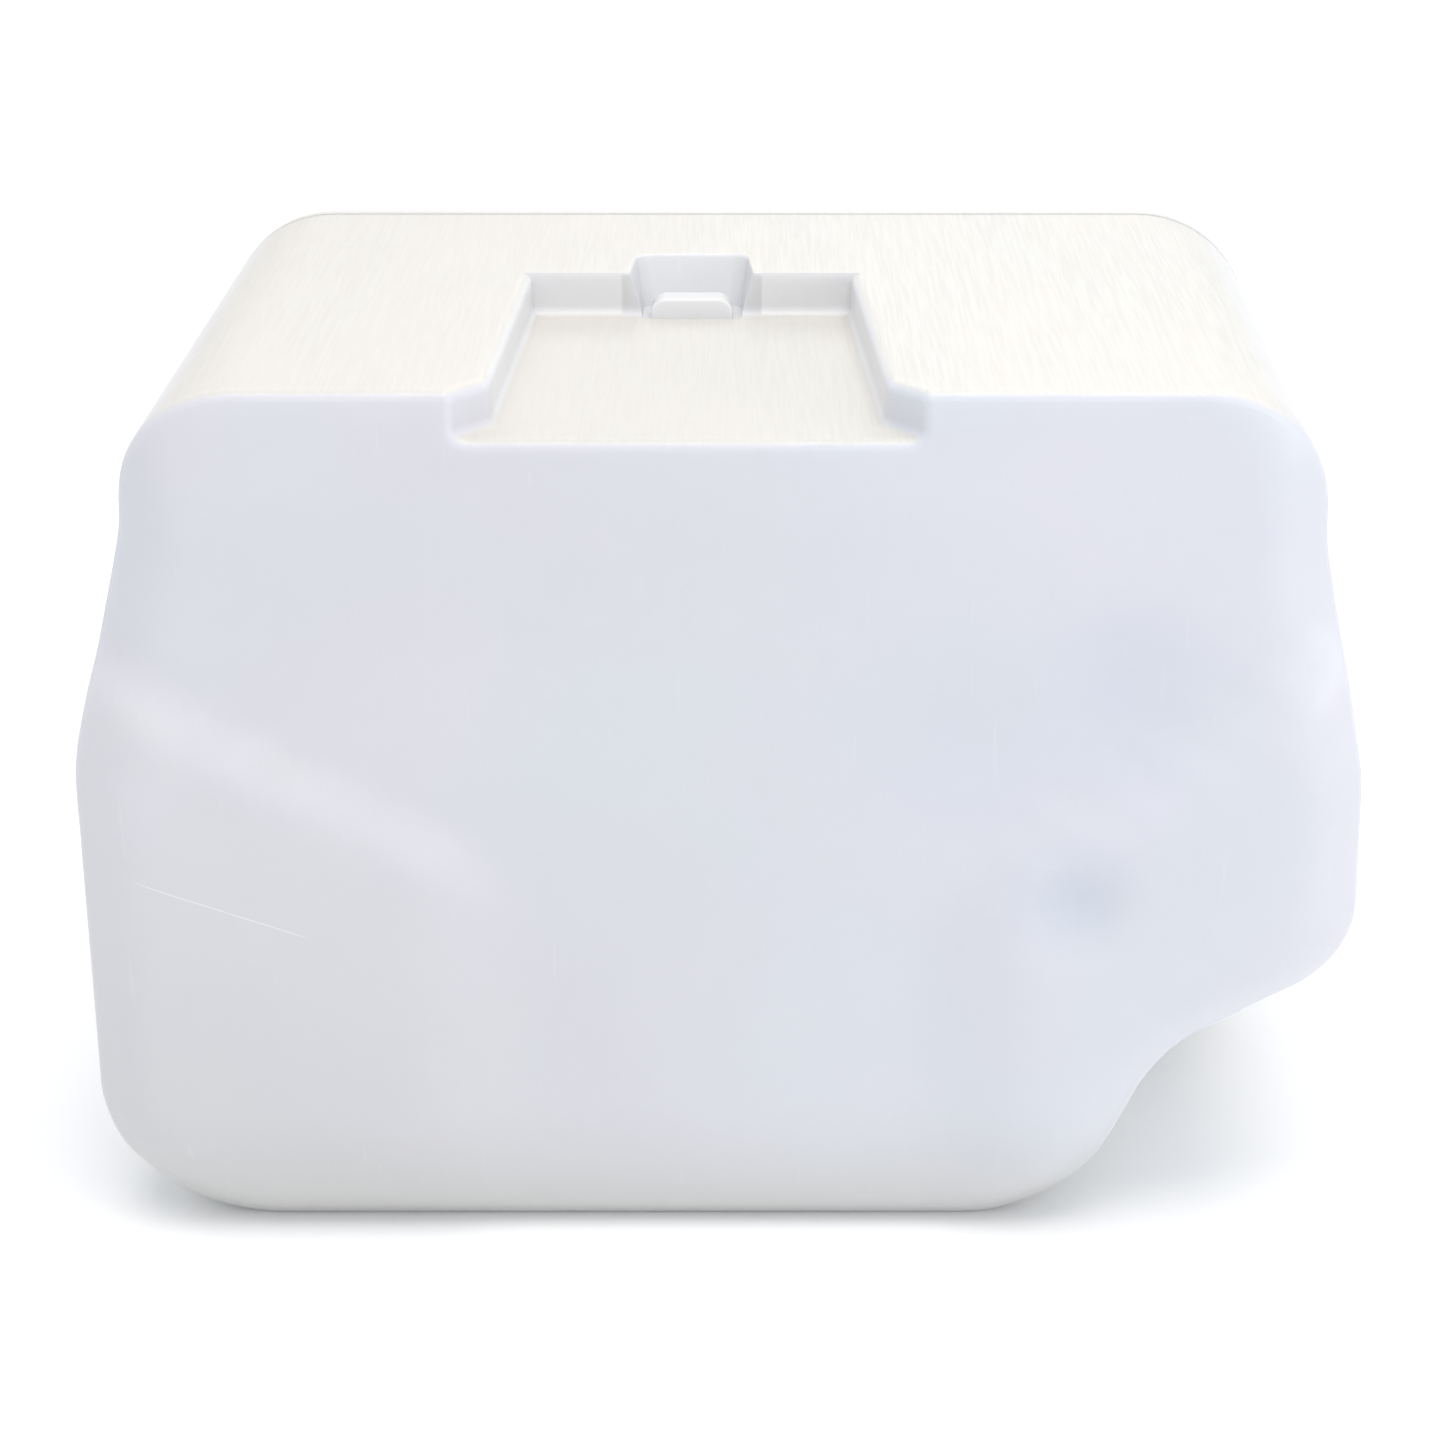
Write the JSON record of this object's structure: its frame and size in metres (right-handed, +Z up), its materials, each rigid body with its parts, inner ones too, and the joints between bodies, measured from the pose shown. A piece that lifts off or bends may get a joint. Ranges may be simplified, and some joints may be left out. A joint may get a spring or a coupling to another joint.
{
  "type": "oil drain pan",
  "caption": "Enclosed oil drain pan: a translucent moulded tub with a latch pocket and notched corner, closed by a screwed cover with a catch basin, screw plug, strainer, capped spout and vent.",
  "frame": {"origin": "middle of the box round the object, on the surface that it stands on", "axes": "+X to the right along the long edge, +Y from the plain relief face to the catch basin, +Z up"},
  "size_m": [0.3661, 0.1852, 0.262],
  "materials": {
    "natural_plastic": "translucent natural polyethylene, satin moulded skin",
    "cover_plastic": "translucent natural polyethylene, satin moulded skin",
    "black_plastic": "black nylon, fine moulded texture",
    "seal_rubber": "black nitrile rubber",
    "seal_foam": "white closed-cell liner",
    "steel": "zinc-plated steel",
    "strainer_steel": "punched stainless sheet"
  },
  "bodies": {
    "tank": {"tank_tub": "natural_plastic", "rear_cover": "cover_plastic", "cover_gasket": "seal_rubber", "cover_screws": "steel", "port_collar": "black_plastic", "collar_gasket": "seal_rubber", "collar_screws": "steel", "strainer_basket": "strainer_steel", "strainer_snap_ring": "steel", "spout_neck": "black_plastic", "spout_gasket": "seal_rubber", "spout_lock_nut": "black_plastic"},
    "plug_seal": {"drain_plug_oring": "seal_rubber"},
    "plug": {"drain_plug": "black_plastic"},
    "bail": {"plug_bail": "steel"},
    "spout_liner": {"spout_cap_liner": "seal_foam"},
    "spout_closure": {"spout_cap": "black_plastic"},
    "vent_liner": {"vent_cap_liner": "seal_foam"},
    "vent_closure": {"vent_cap": "black_plastic"}
  },
  "joints": [
    {"name": "plug_travel", "type": "slide", "parent": "tank", "child": "plug_seal", "axis": [0, 1, 0], "range_m": [0, 0.016]},
    {"name": "plug_turn", "type": "hinge", "parent": "plug_seal", "child": "plug", "pos_m": [-0.026, 0.0565, 0.132], "axis": [0, 1, 0], "range_deg": [0, 1440]},
    {"name": "bail_swing", "type": "hinge", "parent": "plug", "child": "bail", "pos_m": [-0.026, 0.0686, 0.132], "axis": [1, 0, 0], "range_deg": [0, 90]},
    {"name": "spout_cap_travel", "type": "slide", "parent": "tank", "child": "spout_liner", "axis": [1, 0, 0], "range_m": [0, 0.018]},
    {"name": "spout_cap_turn", "type": "hinge", "parent": "spout_liner", "child": "spout_closure", "pos_m": [0.126, 0.044, 0.031], "axis": [1, 0, 0], "range_deg": [0, 1620]},
    {"name": "vent_cap_travel", "type": "slide", "parent": "tank", "child": "vent_liner", "axis": [0, 1, 0], "range_m": [0, 0.0105]},
    {"name": "vent_cap_turn", "type": "hinge", "parent": "vent_liner", "child": "vent_closure", "pos_m": [0.133, 0.0755, 0.207], "axis": [0, 1, 0], "range_deg": [0, 1260]}
  ],
  "couplings": [
    {"joint": "plug_travel", "follows": "plug_turn", "m_per_rad": 0.00063662},
    {"joint": "spout_cap_travel", "follows": "spout_cap_turn", "m_per_rad": 0.00063662},
    {"joint": "vent_cap_travel", "follows": "vent_cap_turn", "m_per_rad": 0.00047746}
  ]
}
